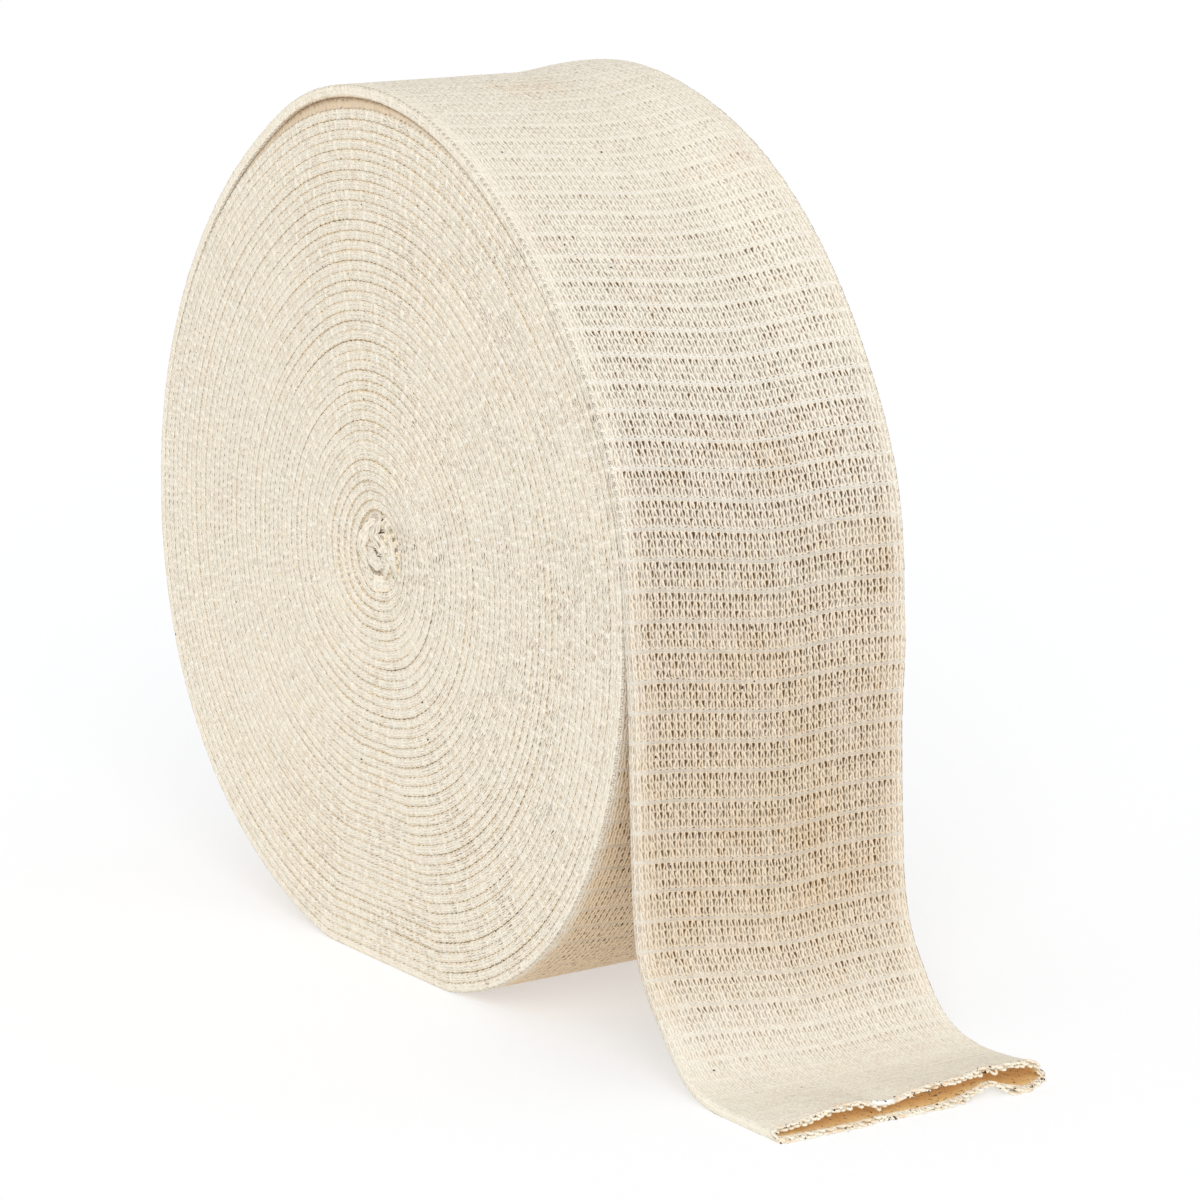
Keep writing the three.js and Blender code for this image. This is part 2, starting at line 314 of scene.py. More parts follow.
# %% [markdown]
# ## Uneven faces
# The turns slip a little sideways as they are wound, so the folds of the two faces stand proud or sunk
# by a few tenths of a millimetre, and the core is dished. Slow waves give the faces their large shape
# and seeded noise, with knots every tenth of a turn, gives each turn its own slip. A hand holds the
# roll at its front and back while it is wound: there the folds are pressed flat against each other,
# and at the top and bottom they stay round, with a groove between them. Nothing presses on the cloth
# at the lifted top, so the last turn is a little thicker there, and the turn under it puffs up behind
# its fold and fills most of the gap. Real contact could be simulated, but this is quick and steady.

# %% Slip of the turns
SLIP_KNOT = 34
SLIP = {"near": 0.06, "far": 0.12}
PRESSED_SLIP = 0.5
FACE_WAVE = 0.12
SHORT_WAVE = 0.31
LONG_WAVE = 0.17
LONG_WAVE_SHARE = 0.6
WAVE_SWING = 0.8
CORE_RADIUS = 15
CORE_DISH = 1.2
RIM_TURNS = 3
GAP_FILL = 0.88
LAST_TURN_PUFF = 0.15
PUFF_FROM = 0.05
PUFF_TO = 0.5
FOLD_KNOT = 23

slip_knots = {
    edge: winding_dice.normal(0, reach, int(TURNS * 360 / SLIP_KNOT) + 12)
    for edge, reach in SLIP.items()
}
fold_knots = winding_dice.uniform(0.1, 1, int(TURNS * 360 / FOLD_KNOT) + 12)


def puff_under_gap(turn, y, out):
    """How far the tube's outer ply is puffed up in the gap above it, in millimetres."""
    under = (turn > 360) & (turn < 360 + LAST_TURN_START) & (out > 0)
    behind_fold = smoothstep(half_width - np.abs(y), PUFF_FROM, PUFF_TO)
    return GAP_FILL * along(OUTLINE, "lift", np.mod(turn, 360)) * behind_fold * under


def last_turn_puff(turn, out):
    """How far the last turn's inner ply hangs down into the gap, in millimetres."""
    inner_ply = np.clip(-out / HALF_THICK, 0, 1) * (turn < LAST_TURN_START)
    return LAST_TURN_PUFF * along(OUTLINE, "lift", np.mod(turn, 360)) * inner_ply


def loose_share(turn):
    """How loosely the turns lie on each other: 0 at the roll's front and back, 1 at top and bottom."""
    return 0.5 - 0.5 * np.cos(2 * np.radians(turn))


def rounded_share(turn):
    """Share of roundness of the folds, uneven along the cloth."""
    return loose_share(turn) * slow_noise(fold_knots, np.maximum(turn, 0) / FOLD_KNOT)


def face_reach(edge, turn, radius):
    """How far the fold of a turn stands out of its face."""
    angle = np.radians(turn)
    wave = np.sin(SHORT_WAVE * radius + WAVE_SWING * np.sin(angle))
    wave = wave + LONG_WAVE_SHARE * np.sin(LONG_WAVE * radius - angle)
    inside = smoothstep(turn, LAST_TURN_START, LAST_TURN_START + 360 * RIM_TURNS)
    waves = FACE_WAVE * wave * smoothstep(radius, CORE_RADIUS / 2, CORE_RADIUS * 2) * inside
    dish = CORE_DISH * (1 - smoothstep(radius, CORE_RADIUS / 3, CORE_RADIUS))
    slip = slow_noise(slip_knots[edge], np.maximum(turn, 0) / SLIP_KNOT)
    slip = slip * smoothstep(turn, LAST_TURN_START - 60, LAST_TURN_START + 200)
    slip = slip * (PRESSED_SLIP + (1 - PRESSED_SLIP) * loose_share(turn))
    return waves - dish + slip


# %% [markdown]
# ## From cloth length to turns
# The stitches are spaced along the cloth, so the winding is measured: the spiral is walked in small
# steps and its length added up. After that any length from the cut mouth can be looked up as a turn
# angle. The free end's length comes first, along the line in which it hangs and lies.

# %% The free end's line
TAIL = {
    "x": (74.7, 75.0, 75.3, 75.8, 76.3, 77.4, 79.5, 82.4, 85.6, 88.8, 92.4, 97.7, 111.7),
    "z": (60, 50, 40, 30, 24, 18.4, 14, 10, 6, 3.2, 1.6, 0.8, 0.8),
    "skew": (0, 0, 0, 0, 0, 0, 0.3, 0.6, 0.8, 0.6, 0.3, 0, 0),
}
TAIL_SETTLE = 22


def walked_length(xs, zs):
    """Length walked along a line, from its first point to each of its points."""
    return np.append(0, np.cumsum(np.hypot(np.diff(xs), np.diff(zs))))


def run_of(line, chord, step):
    """Which way a line runs at a place on it, as differences in x and z."""
    return [along(line, axis, chord + step) - along(line, axis, chord - step) for axis in ("x", "z")]


tail_start = float(middle_radius(np.array([0.0]), np.array([0.0]))[0])
tail_x = np.append(tail_start, TAIL["x"])
tail_z = np.append(AXIS_HEIGHT, TAIL["z"])
tail_chord = walked_length(tail_x, tail_z)
tail_line = {"at": tail_chord, "x": tail_x, "z": tail_z, "skew": np.append(0, TAIL["skew"])}
walk = np.linspace(0, tail_chord[-1], 600)
walked = walked_length(along(tail_line, "x", walk), along(tail_line, "z", walk))
FREE_LENGTH = float(walked[-1])
print("free end:", round(FREE_LENGTH, 1), "mm long")

# %% The winding's length
SPIRAL_END = 360 * 41

turn_walk = np.arange(0, SPIRAL_END + 1, 1.0)
radius_walk = middle_radius(turn_walk, np.zeros_like(turn_walk))
turn_angles = np.radians(turn_walk)
spiral_x = radius_walk * np.cos(turn_angles)
spiral_z = radius_walk * np.sin(turn_angles)
length_walk = FREE_LENGTH + walked_length(spiral_x, spiral_z)
SPIRAL_LENGTH = float(length_walk[-1])


def turn_at(length):
    """Turn angle at a length of cloth from the cut mouth."""
    return np.interp(length, length_walk, turn_walk)


def course_at(turn):
    """Course number where the winding has reached a turn angle."""
    return float(course_of(np.interp(turn, turn_walk, length_walk)))


print("spiral:", round(length_walk[-1] / 1000, 2), "m down to a radius of", radius_walk[-1].round(1), "mm")

# %% [markdown]
# ## The crumpled core
# Winding begins with a few centimetres of cloth folded by hand, and no core is put in. So the turns
# don't run on to the middle: the cloth turns back on itself at the upper right and then curls up. The
# table follows the middle of the cloth from the end of the spiral to its inner end.

# %% Core line
CORE_MIDDLE = (0.0, 0.6)
CORE_PUFF = 1.6
CORE_CRUMPLE = 0.55
CRUMPLE_KNOT = 5
CORE = {
    "x": (6.3, 5.1, 3.5, 2.2, 2.3, 3.7, 4.9, 5.1, 4.0, 1.4, -1.6, -4.1, -5.4, -5.8, -4.8, -2.7, -0.3,
          0.8, 0.9, 2.4, 3.1, 2.0, -0.2, -2.5, -3.9, -4.1, -3.2, -1.6, -0.7, 0.3, 1.2, 0.0, -1.7, -2.4,
          -1.9),
    "z": (2.4, 4.4, 5.3, 4.8, 3.4, 2.3, 0.6, -1.7, -3.8, -5.4, -5.5, -4.1, -1.6, 1.2, 3.7, 5.4, 5.6,
          4.3, 2.7, 1.2, -0.6, -2.6, -3.7, -3.0, -1.1, 1.0, 2.8, 3.7, 2.4, 0.8, -0.9, -1.9, -1.3, 0.2,
          1.2),
}

spiral_tail = slice(-40, None, 13)
core_x = np.append(spiral_x[spiral_tail], np.array(CORE["x"]) + CORE_MIDDLE[0])
core_z = np.append(spiral_z[spiral_tail], np.array(CORE["z"]) + CORE_MIDDLE[1])
core_chord = walked_length(core_x, core_z)
core_line = {"at": core_chord, "x": core_x, "z": core_z}
core_walk = np.linspace(core_chord[3], core_chord[-1], 900)
core_walked = walked_length(along(core_line, "x", core_walk), along(core_line, "z", core_walk))
CLOTH_LENGTH = SPIRAL_LENGTH + float(core_walked[-1])
crumple_knots = winding_dice.normal(0, 1, int(core_walked[-1] / CRUMPLE_KNOT) + 3)
print("cloth in all:", round(CLOTH_LENGTH / 1000, 2), "m")

# %% [markdown]
# ## Bowed courses
# Winding pulls the middle of the cloth along, so the rows of stitches don't run straight across. On
# the outer ply they sag towards the free end, most a little past the middle. Nothing else changes, so
# a table of that sag, round the whole tube, is enough. It fades out towards the straight cut mouth.

# %% Bow of the courses
BOW = {
    "at": (0, 4, 8, 12, 16, 20, 24, 28, 32, 38, 46, 56, 69, 82, 92),
    "sag": (0, 0.2, 0.6, 1.2, 1.8, 2.4, 2.8, 2.8, 2.5, 2.4, 2.6, 2.7, 2.4, 1.0, 0),
}
BOW_FADE = 34


def cloth_length(course, wale):
    """Length from the cut mouth of a place on a course, with the bow of the course."""
    length = length_of(course)
    return length - along(BOW, "sag", np.mod(wale, WALES)) * smoothstep(length, 0, BOW_FADE)


# %% [markdown]
# ## Laying the cloth
# Two functions lay places of the cloth in space: one winds it on the roll, the other lets the free
# end hang, turn on the surface and open at its mouth. Both take how far a stitch stands out of the
# cloth, so that relief follows the folds as well.

# %% Swell of the turns
SWELL = {"loose": 0.06, "pressed": 0.11, "core": 0.1}
SWELL_FROM = 300
SWELL_TO = 500
CORE_SWELL_FROM = 360 * 30
CORE_SWELL_TO = 360 * 40


def swell_of(turn):
    """How much thicker than its layer a turn is, so that it fills its place."""
    swell = SWELL["pressed"] + (SWELL["loose"] - SWELL["pressed"]) * loose_share(turn)
    swell = swell + SWELL["core"] * smoothstep(turn, CORE_SWELL_FROM, CORE_SWELL_TO)
    return swell * smoothstep(turn, SWELL_FROM, SWELL_TO)


print("turns swell by a share of", swell_of(np.array([0.0, 630.0, 720.0, 14700.0])).round(3))

# %% Wound cloth
CORE_SLIP_PACE = 9
CORE_STEP = 0.1
CRUMPLE_FADE = 10


def lay_wound(course, wale, proud):
    """Points of wound cloth, in millimetres."""
    length = cloth_length(course, wale)
    turn = turn_at(length)
    y, out, y_normal, out_normal = tube_section(wale, rounded_share(turn))
    out = out * (1 + swell_of(turn))
    middle = middle_radius(turn, y)
    angle = np.radians(turn)
    facing = np.stack([np.cos(angle), np.sin(angle)])
    level = LAYER / 2 + SQUASHED_LAYER * np.maximum(np.round((turn - 270) / 360), 0)
    x = middle * facing[0]
    z = np.maximum(AXIS_HEIGHT + middle * facing[1], level)
    in_length = np.maximum(length - SPIRAL_LENGTH, 0)
    in_core = in_length > 0
    if in_core.any():
        chord = np.interp(in_length, core_walked, core_walk)
        run_x, run_z = run_of(core_line, chord, CORE_STEP)
        core_facing = np.stack([run_z, -run_x]) / np.hypot(run_x, run_z)
        x = np.where(in_core, along(core_line, "x", chord), x)
        z = np.where(in_core, along(core_line, "z", chord) + AXIS_HEIGHT, z)
        facing = np.where(in_core, core_facing, facing)
        out = out * np.where(in_core, CORE_PUFF, 1)
    radius = np.hypot(x, z - AXIS_HEIGHT)
    slip_at = turn + in_length * CORE_SLIP_PACE
    t = (y + half_width) / FLAT_WIDTH
    shift = face_reach("far", slip_at, radius) * t - face_reach("near", slip_at, radius) * (1 - t)
    crumple = slow_noise(crumple_knots, in_length / CRUMPLE_KNOT)
    shift = shift + CORE_CRUMPLE * crumple * smoothstep(in_length, 0, CRUMPLE_FADE)
    lift = out + puff_under_gap(turn, y, out) - last_turn_puff(turn, out) + proud * out_normal
    return np.stack([x + lift * facing[0], y + shift + proud * y_normal, z + lift * facing[1]], -1)


# %% Mouth of the free end
MOUTH = {
    "at": (-25.4, -21, -16, -10, -5, 1, 7, 11, 14, 17, 21, 25.4),
    "lift": (0, 0, 0, 0, 0, 0, 0.3, 0.9, 1.4, 0.3, 0, 0),
    "gap": (0, 0.6, 1.5, 1.7, 0.7, 1.8, 1.7, 1.1, 1.0, 2.4, 2.5, 0.9),
    "reach": (-0.4, -0.1, 0.3, 0.3, -0.1, 0.4, 0.3, -0.3, -0.4, 0.9, 0.7, -1.6),
}
MOUTH_DEPTH = 14
MOUTH_OPENING = 1.3
LOWER_PLY_REACH = 1.2
TAIL_STEP = 0.2


def lay_free(course, wale, proud, inside=0.0):
    """Points of the free end, in millimetres. Inside is how far they lie within the tube's wall."""
    length = np.clip(cloth_length(course, wale), 0, None)
    rounded = 1 - smoothstep(length, FREE_LENGTH - TAIL_SETTLE, FREE_LENGTH)
    y, out, y_normal, out_normal = tube_section(wale, rounded)
    chord = np.interp(FREE_LENGTH - length, walked, walk)
    x = along(tail_line, "x", chord)
    z = along(tail_line, "z", chord)
    run_x, run_z = run_of(tail_line, chord, TAIL_STEP)
    run = np.hypot(run_x, run_z)
    settle = 1 - smoothstep(AXIS_HEIGHT - z, 0, TAIL_SETTLE)
    flared = middle_radius(0 * y, y) - tail_start
    x = x + settle * flared - along(tail_line, "skew", chord) * y / half_width
    open_share = np.clip(1 - length / MOUTH_DEPTH, 0, 1) ** MOUTH_OPENING
    edge = smoothstep(1 - length / MOUTH_DEPTH, 0.5, 1)
    side = out / HALF_THICK
    x = x + edge * (along(MOUTH, "reach", y) + LOWER_PLY_REACH * (side < 0))
    rise = open_share * (along(MOUTH, "lift", y) + along(MOUTH, "gap", y) * (1 + side) / 2)
    lift = out + (proud - inside) * out_normal
    x = x - lift * run_z / run
    z = z + lift * run_x / run + rise
    return np.stack([x, y + (proud - inside) * y_normal, z], -1)


# %% [markdown]
# ## Stitches
# Plain knit shows as columns of small upside-down Vs: two yarn legs lean together, and dark slits open
# between columns and inside each V. A heavier way is to sweep a yarn along every loop, which takes far
# too many faces here. Instead the mesh itself is laid on the stitches: four columns to a wale, two
# rows to a course, legs raised, slits sunk, and the leg columns moved sideways into the V. The elastic
# course is a low even cord. The cloth's own weight opens the slits where it hangs, and they close again
# where it lies, so a table gives their openness along the cloth, and how much painted warm shade the
# cotton gets: most on the lower front of the roll and under it, and some low on the free end.

# %% Relief of the stitches
LEG_HEIGHT = 0.08
SLIT_DEPTH = 0.24
CORD_HEIGHT = 0.03
LEG_SPREAD = 0.29
LEG_LEAN = 0.15
FOLD_SLIT = 0.1
ROW_PLACES = (0.14, 0.86)

# In this table, warm is painted shade: the cloth is painted warmer and darker on the lower front of the
# roll, under it and low on the free end.
STRETCH = {
    "at": (0, 18, 30, 42, 60, 90, 115, 135, 155, 175, 210, 280, 340, 420, 480, 560),
    "open": (0.1, 0.13, 0.45, 0.8, 1.0, 1.05, 1.05, 0.8, 0.58, 0.4, 0.32, 0.5, 0.6, 0.6, 0.65, 0.8),
    "warm": (0.03, 0.03, 0.1, 0.48, 0.68, 0.53, 0.18, 0, 0, 0, 0, 0.1, 0.3, 1.0, 1.05, 0.9),
}

stitch_dice = np.random.default_rng(11)


def wales_to_fold(wale):
    """Wales between a place and the nearer fold."""
    return WALES / 4 - np.abs(np.mod(wale, WALES / 2) - WALES / 4)


def fine_columns(first, last):
    """Column numbers, four to a wale, over a range of wales."""
    return np.arange(round(first * 4), round(last * 4))


def stitch_grid(courses, columns):
    """Course, wale and height of every vertex of a finely knitted stretch."""
    course = np.repeat(courses[:, None], len(columns), 1)
    openness = along(STRETCH, "open", length_of(course))
    kind = np.mod(columns, 4)[None, :]
    rise = course - np.floor(course)
    cord = np.mod(np.floor(course), REPEAT_COURSES) == 0
    spread = np.where(cord, 0.25, LEG_SPREAD - LEG_LEAN * rise)
    place = np.choose(kind + 0 * cord, [0 * spread, 0.5 - spread, 0.5 + 0 * spread, 0.5 + spread])
    off_fold = FOLD_SLIT + (1 - FOLD_SLIT) * smoothstep(wales_to_fold(columns / 4), 0.5, 5)[None, :]
    slit = -SLIT_DEPTH * np.where(kind == 0, rise, 0.7 - 0.7 * rise) * openness * off_fold
    height = np.where(kind % 2 == 1, LEG_HEIGHT, slit)
    height = np.where(cord, CORD_HEIGHT + 0.2 * height, height)
    height = height + stitch_dice.normal(0, 0.018, height.shape)
    wale = np.floor(columns / 4)[None, :] + place + stitch_dice.normal(0, 0.02, height.shape)
    return course, wale, height


def course_rows(first, last, places=ROW_PLACES):
    """Rows from one course number to another, both included, at given places within each course."""
    whole = np.arange(math.floor(first), math.ceil(last))
    rows = (whole[:, None] + np.array(places)[None, :]).ravel()
    return np.concatenate([[first], rows[(rows > first + 0.05) & (rows < last - 0.05)], [last]])


# %% [markdown]
# ## Knitted cotton
# The finish follows the same stitches as the mesh. In every cell of the cloth map the shader works
# out how far a point lies from the two leaning legs: the legs are cream cotton, and the slits between
# them are painted brown as shade, since little light comes out of them. Where the cloth hangs open,
# the round legs are painted lighter as a highlight. Every fourth course is elastic, painted greyer than
# the cotton as shade where the cloth hangs and it sinks between the legs, and thin and whiter where it
# is taut, high on the roll. On the lower front of the roll, under it and low on the free end, cotton and
# elastic are painted warmer and darker as shade. On the faces only the folds show: paler, with fine
# specks and small holes painted dark as shade, and with tan grooves painted as the shade between the
# turns. Cloth tucked in the gap under the lifted end is painted tan as shade. Noise bends the cells a
# little, tints the cotton and gives the yarn its fibres. A knitted picture would be simpler, but it
# would repeat and blur, and this stays sharp at any size.

# %% Small helpers for nodes
def plug(socket, value):
    """Sets a socket to a number or colour, or links another socket to it."""
    if isinstance(value, bpy.types.NodeSocket):
        socket.id_data.links.new(value, socket)
    else:
        socket.default_value = value


def calc(kind, *values, clamp=False):
    """A Math node's result."""
    tree = next(value.id_data for value in values if isinstance(value, bpy.types.NodeSocket))
    node = tree.nodes.new("ShaderNodeMath")
    node.operation = kind
    node.use_clamp = clamp
    for socket, value in zip(node.inputs, values):
        plug(socket, value)
    return node.outputs[0]


def fade(value, low, high):
    """0 below low, 1 above high and an even S between them. Low may be above high."""
    node = value.id_data.nodes.new("ShaderNodeMapRange")
    node.interpolation_type = "SMOOTHSTEP"
    for name, given in (("Value", value), ("From Min", low), ("From Max", high)):
        plug(node.inputs[name], given)
    return node.outputs["Result"]


def blend_colours(share, first, second):
    """A colour between two colours."""
    node = share.id_data.nodes.new("ShaderNodeMix")
    node.data_type = "RGBA"
    colour_inputs = [socket for socket in node.inputs if socket.type == "RGBA"]
    plug(node.inputs["Factor"], share)
    plug(colour_inputs[0], first)
    plug(colour_inputs[1], second)
    return [socket for socket in node.outputs if socket.type == "RGBA"][0]


def noise(place, scale, detail=2.0):
    """Soft noise from 0 to 1 over a place."""
    node = place.id_data.nodes.new("ShaderNodeTexNoise")
    plug(node.inputs["Vector"], place)
    node.inputs["Scale"].default_value = scale
    node.inputs["Detail"].default_value = detail
    return node.outputs["Fac"]


# %% Small sums for nodes
def times(first, *others):
    """Product of two or more values."""
    for other in others:
        first = calc("MULTIPLY", first, other)
    return first


def scaled(value, factor, plus, clamp=False):
    """A value times a factor, plus another."""
    return calc("MULTIPLY_ADD", value, factor, plus, clamp=clamp)


def one_less(value, clamp=False):
    """1 minus a value."""
    return calc("SUBTRACT", 1.0, value, clamp=clamp)


def distance(value, place):
    """How far a value lies from a place."""
    return calc("ABSOLUTE", calc("SUBTRACT", value, place))


# %% Cells of the knit
MESH_SHARES = ("open", "warm", "pressed", "grooved", "tucked", "front")
SWAY = 0.6
SWAY_SCALE = 1.1
SWAY_ALONG = 0.6


def share_of(tree, kind):
    """A value that the mesh brings with it."""
    node = tree.nodes.new("ShaderNodeAttribute")
    node.attribute_name = kind
    return node.outputs["Fac"]


def knit_cells(tree):
    """The mesh's values, and where a point lies in its cell: one wale wide and one course high."""
    knit = {kind: share_of(tree, kind) for kind in MESH_SHARES}
    cloth = tree.nodes.new("ShaderNodeUVMap")
    cloth.uv_map = "cloth"
    knit["cloth"] = cloth.outputs["UV"]
    apart = tree.nodes.new("ShaderNodeSeparateXYZ")
    plug(apart.inputs[0], knit["cloth"])
    sway = scaled(noise(knit["cloth"], SWAY_SCALE), SWAY, -SWAY / 2)
    wale = calc("ADD", apart.outputs["X"], sway)
    knit["course"] = calc("ADD", apart.outputs["Y"], times(sway, SWAY_ALONG))
    knit["across"] = calc("FRACT", wale)
    knit["up"] = calc("FRACT", knit["course"])
    cell = tree.nodes.new("ShaderNodeCombineXYZ")
    plug(cell.inputs[0], calc("FLOOR", wale))
    plug(cell.inputs[1], calc("FLOOR", knit["course"]))
    dice = tree.nodes.new("ShaderNodeTexWhiteNoise")
    dice.noise_dimensions = "2D"
    plug(dice.inputs["Vector"], cell.outputs[0])
    knit["dice"] = dice.outputs["Value"]
    half_round = calc("FRACT", times(apart.outputs["X"], 2 / WALES))
    knit["to_fold"] = times(calc("SUBTRACT", 0.5, distance(half_round, 0.5)), WALES / 2)
    return knit


# %% Knit pattern
LEG_HALF_WIDTH = 0.165
LEG_SOFT_EDGE = 0.08
LEG_UNEVEN = 0.05
INNER_SLIT = 0.85
CORD_NEIGHBOUR = 3
CORD_WAVE = 0.22
CORD_THINNER = 0.08
HOLE_PLACE = 1.1


def knit_pattern(tree):
    """Places and shares of the knit's parts, each share from 0 to 1."""
    knit = knit_cells(tree)
    up = knit["up"]
    from_middle = distance(knit["across"], 0.5)
    from_level = distance(up, 0.5)
    from_leg = calc("SUBTRACT", from_middle, scaled(up, -LEG_LEAN, LEG_SPREAD))
    inner = one_less(times(calc("LESS_THAN", from_leg, 0.0), 1 - INNER_SLIT))
    from_leg = calc("ABSOLUTE", from_leg)
    width = scaled(knit["dice"], LEG_UNEVEN, LEG_HALF_WIDTH - LEG_UNEVEN / 2)
    leg = fade(from_leg, calc("ADD", width, LEG_SOFT_EDGE), calc("SUBTRACT", width, LEG_SOFT_EDGE))
    rounded = calc("POWER", calc("DIVIDE", from_leg, LEG_HALF_WIDTH * 1.25), 2.0)
    knit["round"] = times(one_less(rounded, clamp=True), scaled(up, -0.5, 1.0))
    in_repeat = calc("FRACT", times(knit["course"], 1 / REPEAT_COURSES))
    cord_row = calc("LESS_THAN", in_repeat, 1 / REPEAT_COURSES)
    knit["taut"] = times(scaled(knit["warm"], -3.0, 1.0, clamp=True), one_less(knit["pressed"]))
    from_cord = scaled(knit["taut"], CORD_THINNER, scaled(from_middle, CORD_WAVE, from_level))
    knit["cord"] = times(cord_row, fade(from_cord, 0.52, 0.24))
    slit = times(one_less(leg), inner, one_less(knit["cord"]), fade(up, 0.0, 0.3), fade(up, 1.06, 0.8))
    below_cord = calc("GREATER_THAN", in_repeat, CORD_NEIGHBOUR / REPEAT_COURSES)
    knit["slit"] = times(slit, scaled(below_cord, 0.3, 0.88), scaled(knit["dice"], 0.9, 0.5))
    from_hole = distance(knit["to_fold"], HOLE_PLACE)
    knit["hole"] = times(fade(from_hole, 0.42, 0.12), fade(from_level, 0.26, 0.08))
    return knit


# %% Colours of the cotton
COTTON = (0.895, 0.84, 0.715, 1)
# The next colour is a painted highlight: the round legs of open, hanging cloth are painted lighter.
COTTON_PAINTED_HIGHLIGHT = (0.91, 0.84, 0.72, 1)
COTTON_FACE = (0.90, 0.832, 0.702, 1)
# The warm cotton colour is painted warm shade where the warm share is high, and a random warm tone in soft
# patches, stitches and fibres.
COTTON_WARM = (0.83, 0.66, 0.465, 1)
# The gap colour is painted shade on cloth tucked in the gap under the lifted end.
GAP_PAINTED_SHADE = (0.72, 0.56, 0.385, 1)
# The groove colour is painted shade, tan, in the grooves between the turns and in the small holes beside
# them.
GROOVE_SHADE_TAN = (0.91, 0.745, 0.52, 1)
PEBBLE_TAN = (0.74, 0.61, 0.45, 1)
# The slit colour is painted shade in the slits, the specks on the faces and the small holes.
SLIT_BROWN = (0.13, 0.072, 0.03, 1)
FLECK_BROWN = (0.08, 0.04, 0.02, 1)
GRAIN = {"fibres": 3800.0, "pebbles": 1200.0, "scatter": 120.0, "patches": 70.0, "warm patches": 60.0}
HOLE_SHADE = 1.2
PEBBLE_SHARE = 0.4


def warmth_and_warm_shade(knit, spot, fibres):
    """How warm the yarn is painted: as warm shade by place along the cloth, and at random in soft patches,
    by stitch and by fibre.
    """
    on_flat = fade(knit["to_fold"], 0.5, 4.0)
    warmth = times(fade(noise(spot, GRAIN["warm patches"]), 0.5, 0.8), 0.35)
    warmth = times(calc("ADD", warmth, knit["warm"]), scaled(on_flat, 0.5, 0.5))
    warmth = calc("ADD", warmth, scaled(knit["dice"], 0.24, -0.1))
    return calc("ADD", warmth, scaled(fibres, 0.6, -0.3), clamp=True)


def groove_and_hole_shade(knit, patchy):
    """How much painted shade, tan, the cloth gets in the grooves between the turns and in the holes beside
    them.
    """
    broken = fade(noise(knit["cloth"], 0.14), 0.38, 0.62)
    groove = times(fade(knit["to_fold"], 0.4, 0.85), knit["pressed"], scaled(broken, 0.75, 0.2))
    hole = times(knit["hole"], knit["grooved"], HOLE_SHADE)
    often = times(calc("ADD", patchy, 0.25), knit["dice"])
    return scaled(hole, often, times(groove, knit["grooved"]), clamp=True)


def cotton_colour_and_painted_light(knit, spot, fibres, pebbles, patchy):
    """Colour of the cotton yarn, without its slits, with its painted highlight and its painted warm, groove
    and gap shade.
    """
    # Open, hanging cloth is painted lighter, as a highlight on its round legs.
    colour = blend_colours(knit["open"], COTTON, COTTON_PAINTED_HIGHLIGHT)
    colour = blend_colours(knit["pressed"], colour, COTTON_FACE)
    colour = blend_colours(warmth_and_warm_shade(knit, spot, fibres), colour, COTTON_WARM)
    colour = blend_colours(groove_and_hole_shade(knit, patchy), colour, GROOVE_SHADE_TAN)
    pebbled = times(fade(pebbles, 0.52, 0.72), knit["pressed"], PEBBLE_SHARE)
    colour = blend_colours(pebbled, colour, PEBBLE_TAN)
    return blend_colours(knit["tucked"], colour, GAP_PAINTED_SHADE)


# %% Colours of the elastic
# The first two elastic colours are painted shade: greyer where the elastic sinks between the legs of
# hanging cloth, warmer and darker on the roll's lower front, under it and low on the free end.
CORD_SHADE_GREY = (0.60, 0.565, 0.495, 1)
CORD_WARM_SHADE = (0.544, 0.463, 0.368, 1)
CORD_TAUT = (0.71, 0.69, 0.627, 1)
CORD_AT_FOLD = (0.72, 0.68, 0.60, 1)
CORD_ON_FACE = (0.87, 0.855, 0.80, 1)


def with_elastic(knit, spot, colour):
    """The cotton's colour with the elastic courses over it; the elastic is painted greyer and warmer as
    shade where the cloth hangs and lies low.
    """
    elastic = blend_colours(knit["warm"], CORD_SHADE_GREY, CORD_WARM_SHADE)
    elastic = blend_colours(knit["taut"], elastic, CORD_TAUT)
    elastic = blend_colours(fade(knit["to_fold"], 0.5, 5.0), CORD_AT_FOLD, elastic)
    elastic = blend_colours(knit["pressed"], elastic, CORD_ON_FACE)
    share = calc("ADD", scaled(knit["open"], 0.65, 0.22), scaled(knit["dice"], 0.4, -0.2))
    scattered = times(fade(noise(spot, GRAIN["scatter"]), 0.35, 0.7), knit["dice"])
    share = times(share, one_less(times(knit["pressed"], one_less(scattered))))
    share = times(share, one_less(knit["tucked"]))
    return blend_colours(calc("MULTIPLY", knit["cord"], share, clamp=True), colour, elastic)


# %% Slits, specks and flecks
SLIT_STRENGTH = 1.1
SPECK_LEAST = 0.05
SPECK_MOST = 0.5
HOLE_DARK = 0.4
FLECK_CHANCE = 0.0015
FLECK_PLACE = 0.3
FLECK_HALF_WIDTH = 0.14
FLECK_HALF_HEIGHT = 0.16


